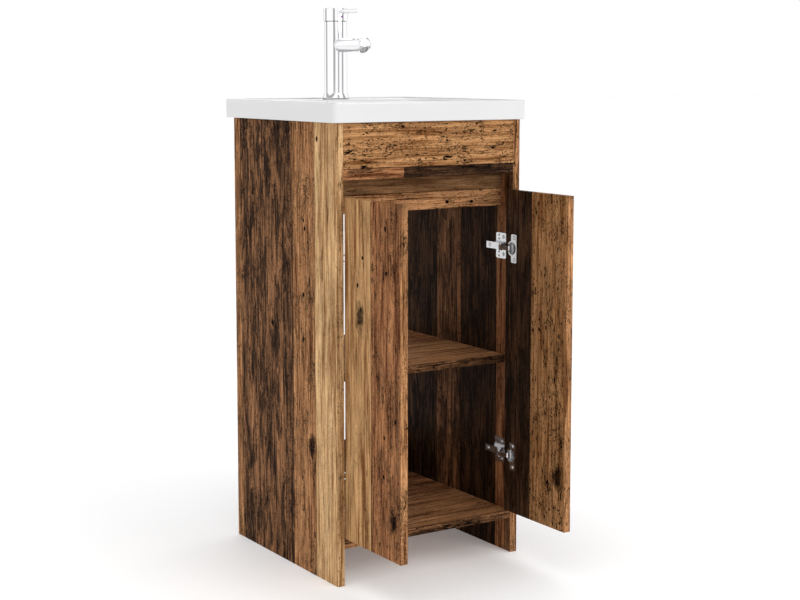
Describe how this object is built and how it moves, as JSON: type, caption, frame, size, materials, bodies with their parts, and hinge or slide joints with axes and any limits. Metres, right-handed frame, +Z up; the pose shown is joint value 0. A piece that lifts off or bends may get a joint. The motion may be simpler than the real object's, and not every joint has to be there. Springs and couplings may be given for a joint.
{
  "type": "vanity unit",
  "caption": "Narrow free-standing bathroom vanity unit: ceramic basin with mixer tap on a reclaimed-wood-look cabinet with cup-hinged doors and an inner shelf.",
  "frame": {"origin": "on the floor, under the middle of the box round the whole unit with both doors open at a right angle", "axes": "+X to the unit's own left as one faces its front, reading left door to right door; +Y backwards to the wall; +Z up"},
  "size_m": [0.43, 0.6094, 1.0722],
  "materials": {
    "side_board": "printed old-wood board, satin",
    "inner_board": "printed old-wood board, satin",
    "apron_board": "printed old-wood board, satin",
    "grip_board": "printed old-wood board, satin",
    "door_board": "printed old-wood board, satin",
    "beech": "plain beech",
    "zinc_alloy": "cast zinc",
    "nickel_steel": "nickel-plated steel",
    "glaze": "white glaze",
    "soft_rubber": "black rubber",
    "chrome_plate": "polished chrome",
    "white_plastic": "moulded plastic",
    "dark_plastic": "dark plastic mesh",
    "raw_brass": "turned brass",
    "raw_steel": "zinc-plated steel",
    "indicator_plastic": "red and blue insert"
  },
  "bodies": {
    "cabinet": {"left_side_panel": "side_board", "right_side_panel": "side_board", "bottom_panel": "inner_board", "shelf": "inner_board", "rear_top_rail": "inner_board", "rear_lower_rail": "inner_board", "front_apron": "apron_board", "grip_rail": "grip_board", "panel_dowels": "beech", "cam_bolts": "zinc_alloy", "cam_discs": "zinc_alloy", "shelf_pins": "nickel_steel", "hinge_fork_pins": "nickel_steel", "hinge_plate_screws": "nickel_steel", "hinge_arm_screws": "nickel_steel", "left_lower_hinge_plate": "nickel_steel", "left_lower_hinge_arm": "nickel_steel", "left_upper_hinge_plate": "nickel_steel", "left_upper_hinge_arm": "nickel_steel", "right_lower_hinge_plate": "nickel_steel", "right_lower_hinge_arm": "nickel_steel", "right_upper_hinge_plate": "nickel_steel", "right_upper_hinge_arm": "nickel_steel", "basin": "glaze", "waste_upper_seal": "soft_rubber", "waste_lower_seal": "soft_rubber", "tap_gasket": "soft_rubber", "waste_body": "chrome_plate", "tap_base_ring": "chrome_plate", "tap_body": "chrome_plate", "tap_spout": "chrome_plate", "aerator_housing": "chrome_plate", "tap_dome": "chrome_plate", "waste_nut": "white_plastic", "waste_tailpiece": "white_plastic", "cartridge": "white_plastic", "aerator_mesh": "dark_plastic", "cartridge_nut": "raw_brass", "tap_nut": "raw_brass", "tap_stud": "raw_brass", "tap_washer": "raw_steel"},
    "left_door": {"left_door": "door_board", "left_upper_hinge_cup": "nickel_steel", "left_lower_hinge_cup": "nickel_steel", "left_cup_screws": "nickel_steel"},
    "right_door": {"right_door": "door_board", "right_upper_hinge_cup": "nickel_steel", "right_lower_hinge_cup": "nickel_steel", "right_cup_screws": "nickel_steel"},
    "left_hinge_links": {"left_upper_hinge_link": "nickel_steel", "left_lower_hinge_link": "nickel_steel"},
    "right_hinge_links": {"right_upper_hinge_link": "nickel_steel", "right_lower_hinge_link": "nickel_steel"},
    "tap_swivel": {"cartridge_carrier": "white_plastic"},
    "tap_handle": {"handle_stem": "raw_brass", "tap_cap": "chrome_plate", "tap_lever": "chrome_plate", "tap_indicator": "indicator_plastic"},
    "waste_plug": {"waste_plug": "chrome_plate"}
  },
  "joints": [
    {"name": "left_door_hinge", "type": "hinge", "parent": "cabinet", "child": "left_door", "pos_m": [-0.1885, -0.11725, 0.404], "axis": [0, 0, 1], "range_deg": [-8, 90]},
    {"name": "right_door_hinge", "type": "hinge", "parent": "cabinet", "child": "right_door", "pos_m": [0.1885, -0.11725, 0.404], "axis": [0, 0, -1], "range_deg": [-8, 90]},
    {"name": "left_link_fold", "type": "hinge", "parent": "left_door", "child": "left_hinge_links", "pos_m": [-0.1784, -0.13115, 0.404], "axis": [0, 0, 1], "range_deg": [-125, 12]},
    {"name": "right_link_fold", "type": "hinge", "parent": "right_door", "child": "right_hinge_links", "pos_m": [0.1784, -0.13115, 0.404], "axis": [0, 0, -1], "range_deg": [-125, 12]},
    {"name": "tap_swivel", "type": "hinge", "parent": "cabinet", "child": "tap_swivel", "pos_m": [0, 0.23175, 1.03], "axis": [0, 0, 1], "range_deg": [-50, 50]},
    {"name": "tap_lift", "type": "hinge", "parent": "tap_swivel", "child": "tap_handle", "pos_m": [0, 0.23175, 1.03], "axis": [-1, 0, 0], "range_deg": [0, 22]},
    {"name": "plug_press", "type": "slide", "parent": "cabinet", "child": "waste_plug", "axis": [0, 0, 1], "range_m": [-0.006, 0]}
  ],
  "couplings": [
    {"joint": "left_link_fold", "follows": "left_door_hinge", "ratio": -1.3767},
    {"joint": "right_link_fold", "follows": "right_door_hinge", "ratio": -1.3767}
  ]
}
